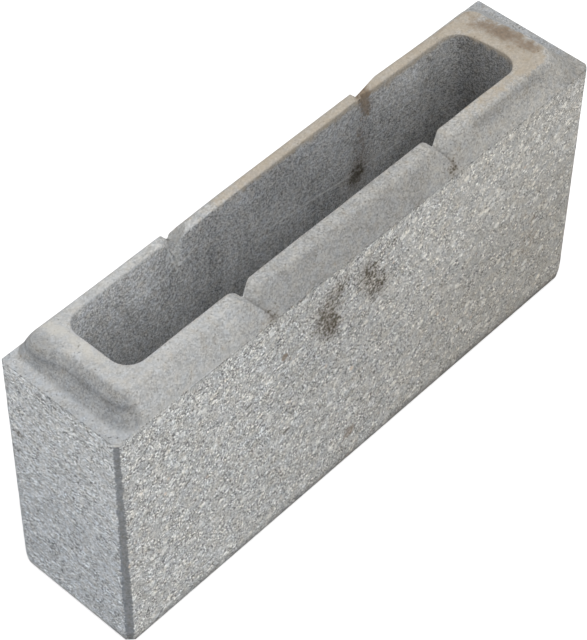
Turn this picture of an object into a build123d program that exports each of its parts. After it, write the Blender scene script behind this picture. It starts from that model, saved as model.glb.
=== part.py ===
"""Narrow hollow concrete wall block with a raised interlocking rim, pressed as one piece.

Millimetres, +Z up. X runs along the block, Y across it, and the origin is the centre of the bed.
"""

import math
import os

from build123d import *

# Body, from the bed up to the lip that runs round the raised rim
LENGTH = 390.0
WIDTH = 86.0
BODY_HEIGHT = 181.0
FRONT_CHAMFER = 4.0
BACK_CHAMFER = 1.0
ARRIS_HEIGHT = 15.0
ARRIS_INSET = 2.0
LIP_EDGE_RADIUS = 0.5

# Raised rim, from the lip up to a flat crest: an ogee on the ends, and nearly straight along the sides.
# A bow of one makes the side slopes straight, and more lets them bulge outwards.
SIDE_LIP = 1.0
END_LIP = 5.8
RIM_RISE = 19.0
SIDE_SLOPE_RUN = 10.7
SIDE_SLOPE_BOW = 1.25
NEAR_SLOPE_RUN = 12.7
FAR_SLOPE_RUN = 17.0
FOOT_CORNER_RADIUS = 10.0
CREST_CORNER_RADIUS = 9.0

# Through cavity, left by a core that narrows towards the bed and sits nearer to one end.
# The lands are what it leaves of the flat crest.
SIDE_LAND = 6.8
NEAR_LAND = 10.8
FAR_LAND = 20.1
CAVITY_CORNER_RADIUS = 12.0
CORE_DRAFT = 0.5
CAVITY_EDGE_RADIUS = 1.0

# Notches where the two bars that held the core crossed both sides of the rim. Each one starts on a
# line set back from the cavity: it falls outwards from there, a little aslant, and breaks away inwards.
BAR_SHIFT = -5.5
BAR_SPACING = 154.0
FRONT_NOTCH_DEPTH = 9.0
FRONT_NOTCH_FALL = 28.0
BACK_NOTCH_DEPTH = 8.3
BACK_NOTCH_FALL = 46.0
NOTCH_SKEW = 16.0
NOTCH_STEEP_ANGLE = 60.0
NOTCH_LEAN_ANGLE = 40.0
NOTCH_SHOULDER_ANGLE = 16.0
NOTCH_SHOULDER_HEIGHT = 5.5
NOTCH_SHOULDER_RADIUS = 8.0
SCAR_SET_BACK = 2.5
SCAR_FALL = 79.0
SCAR_FLANK_ANGLE = 72.0

# Shares of the rim's slope at which its outline is drawn for the loft
SLOPE_SHARES = (0, 0.15, 0.32, 0.5, 0.68, 0.85, 1)

# How far a cutting tool runs past the face that it leaves
OVERRUN = 20.0

# How near to a height or an outline an edge counts as lying on it
TOLERANCE = 0.01

FOOT_LENGTH = LENGTH - 2 * END_LIP
FOOT_WIDTH = WIDTH - 2 * SIDE_LIP
CREST_HEIGHT = BODY_HEIGHT + RIM_RISE
CREST_WIDTH = FOOT_WIDTH - 2 * SIDE_SLOPE_RUN
CAVITY_NEAR = -FOOT_LENGTH / 2 + NEAR_SLOPE_RUN + NEAR_LAND
CAVITY_FAR = FOOT_LENGTH / 2 - FAR_SLOPE_RUN - FAR_LAND
CAVITY_LENGTH = CAVITY_FAR - CAVITY_NEAR
CAVITY_WIDTH = CREST_WIDTH - 2 * SIDE_LAND
CAVITY_SHIFT = (CAVITY_NEAR + CAVITY_FAR) / 2
NOTCH_LINE = CAVITY_WIDTH / 2 + SCAR_SET_BACK


def level_edges(solid, height, length, width):
    """Edges of a solid that lie level at a height, inside a centred rectangle of the plan."""
    level = solid.edges().filter_by_position(Axis.Z, height - TOLERANCE, height + TOLERANCE)
    along = level.filter_by_position(Axis.X, -length / 2 - TOLERANCE, length / 2 + TOLERANCE)
    return along.filter_by_position(Axis.Y, -width / 2 - TOLERANCE, width / 2 + TOLERANCE)


def body():
    """The plain prism, with flats on its front corners and a slight batter round the foot."""
    outline = Rectangle(LENGTH, WIDTH)
    outline = chamfer(outline.vertices().group_by(Axis.Y)[0], FRONT_CHAMFER)
    outline = chamfer(outline.vertices().group_by(Axis.Y)[-1], BACK_CHAMFER)
    batter = math.degrees(math.atan2(ARRIS_INSET, ARRIS_HEIGHT))
    upright = extrude(Pos(0, 0, ARRIS_HEIGHT) * outline, BODY_HEIGHT - ARRIS_HEIGHT)
    foot = extrude(Pos(0, 0, ARRIS_HEIGHT) * outline, -ARRIS_HEIGHT, taper=batter)
    prism = upright + foot
    return fillet(prism.faces().sort_by(Axis.Z)[-1].edges(), LIP_EDGE_RADIUS)


def rim_outline(share):
    """Outline of the rim at a share of its end slopes, which climb as a smooth step from lip to crest."""
    climb = share * share * (3 - 2 * share)
    near = -FOOT_LENGTH / 2 + NEAR_SLOPE_RUN * share
    far = FOOT_LENGTH / 2 - FAR_SLOPE_RUN * share
    width = FOOT_WIDTH - 2 * SIDE_SLOPE_RUN * (1 - (1 - climb) ** (1 / SIDE_SLOPE_BOW))
    radius = FOOT_CORNER_RADIUS + (CREST_CORNER_RADIUS - FOOT_CORNER_RADIUS) * share
    outline = RectangleRounded(far - near, width, radius)
    return Pos((near + far) / 2, 0, BODY_HEIGHT + RIM_RISE * climb) * outline


def rim():
    """The raised rim as a loft through its outlines."""
    return loft([rim_outline(share) for share in SLOPE_SHARES])


def cavity():
    """The core that leaves the cavity, as wide as its mouth at the crest and tapering to the bed."""
    mouth = RectangleRounded(CAVITY_LENGTH, CAVITY_WIDTH, CAVITY_CORNER_RADIUS)
    return extrude(Pos(CAVITY_SHIFT, 0, CREST_HEIGHT) * mouth, -CREST_HEIGHT, taper=CORE_DRAFT)


def notch_profile(depth):
    """Section of a notch along the block: one steep flank, and one that rounds over to a shoulder."""
    top = CREST_HEIGHT + OVERRUN
    bottom = CREST_HEIGHT - depth
    shoulder_x = -NOTCH_SHOULDER_HEIGHT / math.tan(math.radians(NOTCH_LEAN_ANGLE))
    shoulder_z = bottom + NOTCH_SHOULDER_HEIGHT
    corners = [
        (0, bottom),
        ((top - bottom) / math.tan(math.radians(NOTCH_STEEP_ANGLE)), top),
        (shoulder_x - (top - shoulder_z) / math.tan(math.radians(NOTCH_SHOULDER_ANGLE)), top),
        (shoulder_x, shoulder_z),
    ]
    section = make_face(Polyline(*corners, close=True))
    knuckle = section.vertices().sort_by_distance((shoulder_x, shoulder_z, 0))[0]
    return fillet(knuckle, NOTCH_SHOULDER_RADIUS)


def scar_profile(depth):
    """Section of the break-out under a notch on the cavity wall: a plain steep V."""
    top = CREST_HEIGHT + OVERRUN
    bottom = CREST_HEIGHT - depth
    half = (top - bottom) / math.tan(math.radians(SCAR_FLANK_ANGLE))
    return make_face(Polyline((0, bottom), (half, top), (-half, top), close=True))


def bar_notch(x, depth, fall):
    """One notch across the front side of the rim, with the break-out below it on the cavity wall."""
    section_plane = Plane((x, -NOTCH_LINE, 0), x_dir=(1, 0, 0), z_dir=(0, -1, 0))
    outward = Vector(math.tan(math.radians(NOTCH_SKEW)), -1, -math.tan(math.radians(fall)))
    inward = Vector(0, 1, -math.tan(math.radians(SCAR_FALL)))
    outer_run = (WIDTH / 2 - NOTCH_LINE + OVERRUN) * outward.length
    inner_run = (SCAR_SET_BACK + OVERRUN) * inward.length
    groove = extrude(section_plane * notch_profile(depth), outer_run, dir=outward)
    scar = extrude(section_plane * scar_profile(depth), inner_run, dir=inward)
    return groove + scar


def wall_block():
    """The finished block: body and rim in one, cored out, with a notch where each bar crossed."""
    block = body() + rim() - cavity()
    mouth_reach = CAVITY_LENGTH + 2 * abs(CAVITY_SHIFT)
    block = fillet(level_edges(block, CREST_HEIGHT, mouth_reach, CAVITY_WIDTH), CAVITY_EDGE_RADIUS)
    for bar in (-1, 1):
        x = BAR_SHIFT + bar * BAR_SPACING / 2
        block = block - bar_notch(x, FRONT_NOTCH_DEPTH, FRONT_NOTCH_FALL)
        block = block - mirror(bar_notch(x, BACK_NOTCH_DEPTH, BACK_NOTCH_FALL), about=Plane.XZ)
    return block


os.makedirs("parts", exist_ok=True)
export_step(wall_block(), "parts/wall_block.step")
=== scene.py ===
"""Concrete wall block with a blasted face: its cast surface, its finish and a plain studio stage.

Metres, +Z up. X runs along the block, Y across it, and the origin is the centre of the bed.
"""

import math
from typing import NamedTuple

import bpy
import numpy as np
from mathutils import Matrix, Vector


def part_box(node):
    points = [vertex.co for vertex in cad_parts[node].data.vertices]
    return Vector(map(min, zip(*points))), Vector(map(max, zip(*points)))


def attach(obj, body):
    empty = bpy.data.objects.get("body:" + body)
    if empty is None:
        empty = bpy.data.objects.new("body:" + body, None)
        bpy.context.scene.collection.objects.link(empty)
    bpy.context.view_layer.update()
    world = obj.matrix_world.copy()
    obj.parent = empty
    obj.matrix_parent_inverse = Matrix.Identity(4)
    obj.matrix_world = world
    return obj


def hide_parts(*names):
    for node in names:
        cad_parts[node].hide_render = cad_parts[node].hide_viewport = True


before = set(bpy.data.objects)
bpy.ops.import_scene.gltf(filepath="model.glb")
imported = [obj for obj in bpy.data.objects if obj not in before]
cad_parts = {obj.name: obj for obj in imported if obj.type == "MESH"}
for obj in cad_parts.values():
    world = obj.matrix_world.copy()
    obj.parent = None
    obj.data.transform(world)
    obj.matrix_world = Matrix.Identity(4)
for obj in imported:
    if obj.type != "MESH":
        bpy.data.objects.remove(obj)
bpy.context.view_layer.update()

bl_info = {
    "name": "Concrete wall block",
    "version": (1, 0, 0),
    "blender": (4, 5, 0),
    "location": "View3D > Sidebar > Wall block",
    "description": "Builds a blasted hollow wall block on its packed frame, with its finish and a stage",
    "category": "Add Mesh",
}

NODE = "wall_block"
BODY = "root"
SLOT = "pressed_concrete"

MM = 0.001
LOW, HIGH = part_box(NODE)

# Columns of the grid round the plan, and rows of its profile
SIDE_COLUMNS = 228
END_COLUMNS = 46
CORNER_COLUMNS = 8
ARRIS_ROWS = 8
FACE_ROWS = 96
LIP_EDGE_ROWS = 3
LIP_ROWS = 3
OGEE_ROWS = 13
CREST_ROWS = 5
MOUTH_ROWS = 3
SCAR_ROWS = 14
WALL_ROWS = 26

# Along a side the columns keep their X within this distance of the middle, and only the ends stretch
HELD_HALF = 125 * MM

# Short dark scratches in the blasted face, dark lines down the floors of the front notches, and pale
# scores on the cavity's back wall, each from one end to the other, in millimetres
SCRATCHES = (
    ((-99.5, -43, 126), (-95, -43, 126.8)),
    ((-69.5, -43, 77.6), (-64.8, -43, 78.6)),
    ((-147, -43, 103), (-143.5, -43, 105.5)),
    ((-145.5, -43, 53), (-142, -43, 54.5)),
)
GROOVES = (
    ((-84.2, -24.5, 192.1), (-76.3, -43, 181.5)),
    ((71.4, -24.5, 192.4), (74.3, -42.5, 183.4)),
)
WALL_SCORES = (
    ((-8, 0, 149.1), (29.2, 0, 145.1)),
    ((29.2, 0, 145.1), (58.2, 0, 141)),
    ((58.2, 0, 141), (106.4, 0, 137)),
    ((-88.5, 0, 197), (-81.7, 0, 173.7)),
    ((-81.7, 0, 173.7), (-64.9, 0, 180.2)),
    ((-119.7, 0, 176), (-103.7, 0, 173.5)),
    ((-103.7, 0, 173.5), (-89.4, 0, 172.7)),
)

# How much closer the columns stand at a notch, over what reach, and the steps in which that is added up
NOTCH_CROWD = 2.4
NOTCH_REACH = 13 * MM
CROWD_STEPS = 4001


class Notch(NamedTuple):
    """A notch across one side of the rim, where a bar held the core, and the break-out under it.

    The side is -1 in front and 1 at the back. The floor starts at the cavity, at a place along the block
    and a depth below the crest. For each step outwards it shifts by the skew and sinks by the fall, and
    past the crest also by the spill. The shoulder is the reach of its rounded flank, and the steepness is
    the slope of its plane one. The break-out has its foot at a place along the block and a drop below the
    crest, and bites into the wall, and the rounded flank sinks above it by the lobe.
    """

    side: int
    along: float
    skew: float
    depth: float
    fall: float
    shoulder: float
    steepness: float
    foot: float
    lobe: float
    drop: float
    bite: float
    spill: float


NOTCHES = (
    Notch(-1, -82.9 * MM, 0.34, 8.4 * MM, 0.56, 13 * MM, 2.1, -82.9 * MM, 0, 23 * MM, 5 * MM, 0),
    Notch(-1, 71.4 * MM, 0.16, 7.6 * MM, 0.50, 11 * MM, 1.25, 71.4 * MM, 0, 23 * MM, 5 * MM, 0),
    Notch(1, -76.8 * MM, 0.17, 8.3 * MM, 0.95, 16 * MM, 1.73, -80.2 * MM, 11 * MM, 33 * MM, 5 * MM, 0),
    Notch(1, 66.5 * MM, 0.50, 3.0 * MM, 0.33, 6.5 * MM, 0.335, 72.5 * MM, 0, 20 * MM, 2.2 * MM, 1.45),
)

# Curve of a notch's rounded flank, width of the crest before a floor spills, and reach under the lip
NOTCH_ROUNDING = 1.55
CREST_LAND = 6.5 * MM
NOTCH_END = 4 * MM

# Reach of a break-out to either side of its foot, once it comes up to the crest, and of a lobe along
# and across the rim
SCAR_NEAR = 3.4 * MM
SCAR_FAR = 6.8 * MM
LOBE_REACH = 10 * MM
LOBE_WIDTH = 6 * MM

# Depth of the cavity wall that has closer rows, for the break-outs, and how fast their broken look sets in
SCAR_FOOT = 38 * MM
SCAR_GAIN = 4

# Roundness of the lip's corner edges, between a flat at nought and a quarter circle at one, and the power
# that bends the far slope
LIP_BOW = 0.3
FAR_POWER = 0.9

# Where the near back corner of the crest swells out, from nothing to full, along and across the block
SWELL_ALONG = (-155 * MM, -175 * MM)
SWELL_ACROSS = (6 * MM, 24 * MM)

# Wear of the back crest: the run in which it sets in beyond the first notch, where it sets in across the
# block, the share that stays and the distance over which the rest fades
BACK_WEAR_RUN = 4 * MM
BACK_WEAR_ACROSS = (8 * MM, 20 * MM)
BACK_WEAR_STAYS = 0.24
BACK_WEAR_FADE = 32 * MM

# Where the far back corner is worn, and the slow unevenness of the whole crest
FAR_WEAR_ALONG = (70 * MM, 150 * MM)
FAR_WEAR_ACROSS = (-12 * MM, 22 * MM)
UNEVEN_DEPTH = 0.5 * MM
UNEVEN_CELL = 24 * MM

# The blasted face: how far under the lip it ends, how far it bites over a corner flat at the bed and how
# much further at the lip, and the width of its mask's ramp
BLAST_BELOW_LIP = 0.3 * MM
BLAST_OVER_FLAT = 0.1 * MM
BLAST_GAIN = 0.7 * MM
BLAST_RAMP = 8 * MM

# Cells of the noise in the relief, and the height above the bed and the depth below the crest over which
# the relief and the rubbed wall set in
EATEN_CELLS = (3.6 * MM, 7.5 * MM)
PIT_CELL = 4.4 * MM
WAVE_CELLS = (22 * MM, 9 * MM)
BED_RAMP = 3 * MM
HOLLOW_RAMP = 3 * MM

# Noise: how many numbers it draws, how far it may be shifted, and the primes that spread a lattice point
NOISE_DRAWS = 8192
NOISE_SHIFT = 50
NOISE_PRIMES = (73856093, 19349663, 83492791)


class Wash(NamedTuple):
    """A change of tone on the faces: its amount, and where it sets in and is full, in millimetres."""

    amount: float
    along: tuple
    up: tuple


# Where the near end and the front side set in, and a ramp that has ended at the bed, in millimetres
NEAR_END = (-193, -194.5)
FRONT_SIDE = (-20, -28)
WHOLE_HEIGHT = (-1, 0)

FACE_LEVEL = 1.19
WASHES = (
    Wash(-0.25, (-150, 150), (150, 60)),
    Wash(-0.03, (40, 120), WHOLE_HEIGHT),
    Wash(0.06, (-60, -100), (60, 120)),
    Wash(0.03, NEAR_END, WHOLE_HEIGHT),
    Wash(0.14, NEAR_END, (60, 130)),
    Wash(0.05, (-90, -130), (100, 60)),
)

# Tones along the block, at places in millimetres: of the front crest, of the slope under it, and of the
# cavity wall near its mouth and deep down. The slope's darker tones are partly dirt and partly painted
# shade, and the wall's darker tones deep down and in its far corner are painted shade
CREST_PLACES = (-110, -60, 50, 100)
CREST_TONES = (0.945, 0.775, 0.775, 0.87)
SLOPE_PLACES = (-170, -105, -60, 50, 95, 160)
SLOPE_TONES = (0.88, 0.86, 0.62, 0.63, 0.78, 0.80)
WALL_PLACES = (-150, -100, -60, 50, 90, 140, 152)
WALL_HIGH_TONES = (1.02, 1.02, 0.74, 0.72, 0.85, 0.80, 0.47)
WALL_DEEP_TONES = (0.91, 0.91, 0.82, 0.82, 0.82, 0.67, 0.34)

# Cells of the noise that frays the crest's edge, and the centre and reach of the painted light spot
# that lifts the shade in the crease at the near back corner
FRAY_CELLS = (9 * MM, 3 * MM)
PAINTED_LIGHT_CORNER = ((-187, 32, 187), (5, 6, 7))

# Sizes of the grains in the finish, in millimetres
SAND_GRAIN = 0.7
GRIT_GRAIN = 1.05
STONE_GRAIN = 5.6
CHIP_GRAIN = 2.0
PIT_GRAIN = 2.1
SKIN_GRAIN = 0.9
WALL_GRAIN = 0.7
WALL_SPECK = 1.25
FLAT_GRAIN = 1.1
DIRT_GRAIN = 1.15

# Sizes of the soft clouds in the finish, in millimetres
DUST_CLOUD = 1.3
PATCH_CLOUD = 11.0
GRIT_CLOUD = 7.0
BRUSH_CLOUD = 0.9
SKIN_CLOUD = 15.0
FLAT_CLOUD = 4.0
WALL_CLOUD = 18.0
WALL_FINE_CLOUD = 3.0
SCORE_CLOUD = 4.0
RAGGED_CLOUD = 1.6
HUE_CLOUD = 5.0
STAIN_CLOUD = 5.0
SPECKLE_CLOUD = 1.6

# How much closer the grains stand along each axis: on the long faces and on the near end, for the crushed
# stone and the flakes, in the brushed look of the near end, and in the clouds of the cavity wall
FACE_STRETCH = (1.25, 1.0, 1.05)
END_STRETCH = (1.0, 0.7, 1.6)
STONE_STRETCH = (0.8, 1.0, 1.0)
FLAKE_STRETCH = (0.7, 0.8, 1.0)
BRUSH_STRETCH = (1.0, 0.15, 1.3)
WALL_STRETCH = (1.0, 1.0, 0.6)

# Where looks set in, in millimetres: the near end's grain and the crisper grain along the block, the rubbed
# end of the rim, its crest and its lip, and the top of the corner flats
END_GRAIN = (-193.2, -194.4)
CRISP_GRAIN = (150.0, -60.0)
RUBBED_END = (-90.0, -120.0)
RUBBED_CREST = (198.0, 199.5)
RUBBED_LIP = (183.5, 182.0)
FLAT_TOP = (178.4, 177.2)

# Tints of the bluish and the warm concrete
BLUISH = (0.927, 1.0, 1.093)
WARM = (1.068, 1.0, 0.877)

# Widths of the scratches and scores, and of the lines in the notches, in millimetres
SCRATCH_WIDTH = 0.9
GROOVE_WIDTH = 2.0


class Mark(NamedTuple):
    """A stone or spot in the blasted face: its colour, its centre and radius in millimetres, its strength."""

    colour: str
    centre: tuple
    radius: float
    strength: float


MARKS = (
    Mark("rust", (-68.7, -43.0, 143.8), 3.0, 0.75),
    Mark("chip_warm", (-11.5, -43.0, 85.1), 2.2, 0.6),
    Mark("rust", (-11.7, -43.0, 27.5), 6.0, 0.5),
)


class Stain(NamedTuple):
    """A soft stain: its kind, its centre and its reach along each axis in millimetres, and its strength."""

    kind: str
    centre: tuple
    reach: tuple
    strength: float


STAINS = (
    Stain("rust", (72.5, 29, 196), (6, 5, 5), 1.1),
    Stain("rust", (73.7, 27, 187.5), (4.5, 4, 9), 0.85),
    Stain("rust", (69.7, 25.5, 165.5), (5, 3, 24), 0.35),
    Stain("clay", (166, 4, 199), (8, 28, 5), 1.0),
    Stain("clay", (167, -18, 199), (4, 5, 4), 0.5),
    Stain("clay", (163, 20, 199), (5, 7, 4), 0.4),
    Stain("clay", (151, -43, 70), (12, 4, 32), 0.42),
    Stain("clay", (140, 31, 198), (30, 2, 4), 0.5),
    Stain("tan", (120, 28, 198), (50, 7, 6), 1.0),
    Stain("tan", (15, 29, 199), (66, 7, 5), 1.0),
    Stain("tan", (160, 8, 200), (14, 24, 5), 1.0),
    Stain("tan", (158, -20, 200), (12, 14, 4), 0.8),
    Stain("tan", (122, -27, 199), (30, 5, 4), 0.6),
    Stain("grime", (-30, -43, 137), (7, 4, 9), 1.2),
    Stain("grime", (-36, -43, 151), (9, 4, 10), 0.9),
    Stain("grime", (-24, -43, 164), (9, 4, 7), 0.7),
    Stain("grime", (0, -43, 156), (7, 4, 9), 1.1),
    Stain("grime", (8, -43, 141), (7, 4, 10), 1.0),
    Stain("grime", (22, -43, 168), (3, 4, 3), 0.6),
    Stain("grime", (66.5, 25.5, 137), (11, 3, 12), 1.1),
    Stain("grime", (71, 25.5, 157.5), (6, 3, 14), 0.3),
    Stain("grime", (-195, 35, 125.5), (3, 2.6, 3), 0.9),
    Stain("grime", (-77.8, -41.5, 183.5), (4, 4, 4), 0.6),
    Stain("grime", (72, -40.5, 184.5), (5, 4, 4), 0.7),
    Stain("chalk", (-170, 6, 200), (5, 26, 4), 0.7),
    Stain("chalk", (-173, 27, 199), (8, 6, 5), 0.5),
)

# Beyond this X tan and clay keep to the crest, and set in between these shares of the slope
FAR_CREST = 150 * MM
FAR_CREST_RAMP = (0.85, 0.97)

# Stage: half the floor's width, its gap under the bed, its glow and its grey for the light, the place and
# width of the lamp, and the camera's sensor in millimetres
FLOOR_REACH = 6.0
FLOOR_GAP = 0.3 * MM
FLOOR_GLOW = 0.42
FLOOR_GREY = 0.6
KEY_PLACE = (-0.5, -0.7, 1.9)
KEY_WIDTH = 1.4
SENSOR_WIDTH = 36.0
WHITE = (1, 1, 1, 1)


def srgb(red, green, blue):
    """Linear colour of an 8-bit display colour."""
    display = np.array([red, green, blue]) / 255
    linear = np.where(display <= 0.04045, display / 12.92, ((display + 0.055) / 1.055) ** 2.4)
    return tuple(float(c) for c in linear)


def length(name, description, default):
    """A length property in metres."""
    return bpy.props.FloatProperty(
        name=name, description=description, default=default, precision=5, unit="LENGTH"
    )


def colour(name, description, default):
    """A colour property in linear light."""
    return bpy.props.FloatVectorProperty(
        name=name, description=description, default=default, size=3, min=0, max=1, subtype="COLOR"
    )


class BlockSizes(bpy.types.PropertyGroup):
    """Sizes of the cast block that its outer box doesn't give."""

    lip_height: length("Lip height", "Height of the lip above the bed", 181 * MM)
    side_lip: length("Side lip", "Width of the lip along the sides", 0.5 * MM)
    end_lip: length("End lip", "Width of the flat lip on the ends", 5.8 * MM)
    lip_edge: length("Lip edge", "Radius of the lip's outer edge", 0.4 * MM)
    side_run: length("Side slope", "Run of the rim's slope along the sides", 11.2 * MM)
    near_run: length("Near slope", "Run of the rim's slope on the near end", 12.7 * MM)
    far_run: length("Far slope", "Run of the rim's slope on the far end", 17.0 * MM)
    side_bow: bpy.props.FloatProperty(
        name="Side bow",
        description="How the side slope bulges: one is straight, and more bulges outwards",
        default=1.25,
    )
    arris_height: length("Arris height", "Height of the rounding round the foot", 15 * MM)
    arris_inset: length("Arris inset", "How far the foot is drawn in at the bed", 2.0 * MM)
    front_flat: length("Front flat", "Leg of the flat on each upright front corner", 4.0 * MM)
    back_flat: length("Back flat", "Leg of the flat on each upright back corner", 1.0 * MM)
    foot_corner: length("Rim foot corner", "Plan radius of the rim's foot", 10 * MM)
    crest_corner: length("Crest corner", "Plan radius of the crest", 9 * MM)
    cavity_near: length("Cavity near end", "X of the cavity's near wall at the crest", -165.7 * MM)
    cavity_far: length("Cavity far end", "X of the cavity's far wall at the crest", 152.1 * MM)
    cavity_half: length("Cavity half width", "Half the cavity's width at the crest", 24.5 * MM)
    cavity_shift: length("Cavity shift", "How far the cavity lies towards the back", 1.5 * MM)
    cavity_corner: length("Cavity corner", "Plan radius of the cavity", 12 * MM)
    mouth_edge: length("Mouth edge", "Radius of the cavity's upper edge", 1.2 * MM)
    far_wear: length("Far wear", "How far the crest has worn down at the far back corner", 2.4 * MM)
    back_wear: length("Back wear", "How far the back crest lies lower beyond its first notch", 3.8 * MM)
    corner_swell: length("Corner swell", "How far the crest reaches out at the near back corner", 8.5 * MM)
    core_draft: bpy.props.FloatProperty(
        name="Core draft",
        description="Slant of the cavity walls, which close in towards the bed",
        default=math.radians(0.5),
        subtype="ANGLE",
    )
    blast_relief: length("Blast relief", "How deep the blasting eats between the stones", 0.3 * MM)
    skin_relief: length("Skin relief", "Waviness of the smooth pressed skin", 0.25 * MM)


class ConcreteFinish(bpy.types.PropertyGroup):
    """Colours of the concrete, as they are in plain light."""

    sand_dark: colour("Dark sand", "Darkest grains of the blasted face", srgb(88, 88, 88))
    sand_mid: colour("Middling sand", "Common grains of the blasted face", srgb(182, 182, 182))
    sand_pale: colour("Pale sand", "Palest grains of the blasted face", srgb(252, 252, 251))
    chip_pale: colour("Pale chips", "Pale crushed stone", srgb(255, 255, 253))
    chip_warm: colour("Warm chips", "Tan and pink crushed stone", srgb(222, 202, 184))
    # Painted shade: the colour of the pits in the blasted face and the pores in the skin
    pit_shade: colour("Dark chips", "Dark crushed stone and pits", srgb(72, 72, 73))
    skin: colour("Pressed skin", "Smooth cement skin of the rim", srgb(191, 191, 191))
    strip: colour("Corner flat", "Dark smooth flats on the front corners", srgb(122, 124, 127))
    hollow: colour("Cavity", "Rubbed walls of the cavity", srgb(200, 200, 201))
    scar: colour("Broken facets", "Broken concrete under the notches", srgb(206, 206, 204))
    rust: colour("Rust", "Brown rust", srgb(116, 96, 74))
    clay: colour("Clay", "Brown earth on the crest", srgb(132, 116, 100))
    tan: colour("Tan dust", "Pale tan dust on the crest", srgb(183, 170, 151))
    grime: colour("Grime", "Dark growth and grime", srgb(72, 66, 50))
    chalk: colour("Chalk", "Pale lime bloom", srgb(206, 203, 195))


class StudioStage(bpy.types.PropertyGroup):
    """Camera, light and floor."""

    azimuth: bpy.props.FloatProperty(
        name="Azimuth",
        description="Turn of the camera round the block, nought facing the long side",
        default=math.radians(-47.939),
        subtype="ANGLE",
    )
    elevation: bpy.props.FloatProperty(
        name="Elevation",
        description="Height of the camera above the horizon",
        default=math.radians(48.631),
        subtype="ANGLE",
    )
    roll: bpy.props.FloatProperty(
        name="Roll",
        description="Tilt of the camera about its own axis",
        default=math.radians(0.848),
        subtype="ANGLE",
    )
    aim: bpy.props.FloatVectorProperty(
        name="Aim",
        description="Point at the middle of the picture",
        default=(-11.6 * MM, 2.65 * MM, 91.48 * MM),
        size=3,
        subtype="TRANSLATION",
        unit="LENGTH",
    )
    distance: length("Distance", "Distance of the camera from the aim", 1378.5 * MM)
    lens: bpy.props.FloatProperty(
        name="Lens",
        description="Focal length in millimetres on a 36 mm sensor",
        default=133.54,
        unit="CAMERA",
    )
    sky: bpy.props.FloatProperty(name="Sky", description="Strength of the even light", default=0.62, min=0)
    key: bpy.props.FloatProperty(
        name="Key light",
        description="Power of the soft light overhead",
        default=19.0,
        min=0,
        unit="POWER",
    )
    floor: colour("Floor", "Colour of the floor", (0.92, 0.92, 0.92))


def ease(t):
    """Smooth step: three t squared less two t cubed, held between nought and one."""
    t = np.clip(t, 0, 1)
    return t * t * (3 - 2 * t)


def ramp(value, start, end):
    """Smooth step from nought at the start to one at the end, which may lie on either side of it."""
    return ease((value - start) / (end - start))


def window(value, low, high, soft):
    """One between two bounds and nought outside them, by smooth steps of a width."""
    return ease((value - low) / soft + 0.5) * ease((high - value) / soft + 0.5)


def bell(value, middle, reach):
    """Bell curve: the exponential of the squared distance from the middle, in reaches."""
    return np.exp(-(((value - middle) / reach) ** 2))


def lattice_noise(points, cell, seed):
    """Value noise from 0 to 1: random numbers on a lattice, blended by smooth steps over each cell."""
    rng = np.random.default_rng(seed)
    table = rng.random(NOISE_DRAWS)
    scaled = points / cell + rng.random(3) * NOISE_SHIFT
    base = np.floor(scaled).astype(np.int64)
    weight = ease(scaled - base)
    total = np.zeros(points.shape[:-1])
    for corner in np.ndindex(2, 2, 2):
        share = np.prod(np.where(np.array(corner) == 1, weight, 1 - weight), axis=-1)
        spread = (base + np.array(corner)) * np.array(NOISE_PRIMES)
        total += share * table[np.bitwise_xor.reduce(spread, axis=-1) % table.size]
    return total


def layered_noise(points, cells, seed):
    """Two layers of noise with seeds in a row, six parts of the first cell to four of the second."""
    first, second = (lattice_noise(points, cell, seed + layer) for layer, cell in enumerate(cells))
    return 0.6 * first + 0.4 * second


def spot(points, centre, reach):
    """Soft round stain: falls from one at its centre as the exponential of the squared distance."""
    away = (points - np.array(centre)) / np.array(reach)
    return np.exp(-np.sum(away**2, axis=-1))


def station(count, zone, **sizes):
    """Rows of the profile with the same count of every size."""
    rows = {key: np.broadcast_to(np.asarray(size, float), (count,)) for key, size in sizes.items()}
    rows["zone"] = np.full(count, zone)
    return rows


ARRIS, FACE, LIP_EDGE, LIP, OGEE, CREST, MOUTH, WALL = range(8)


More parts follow.
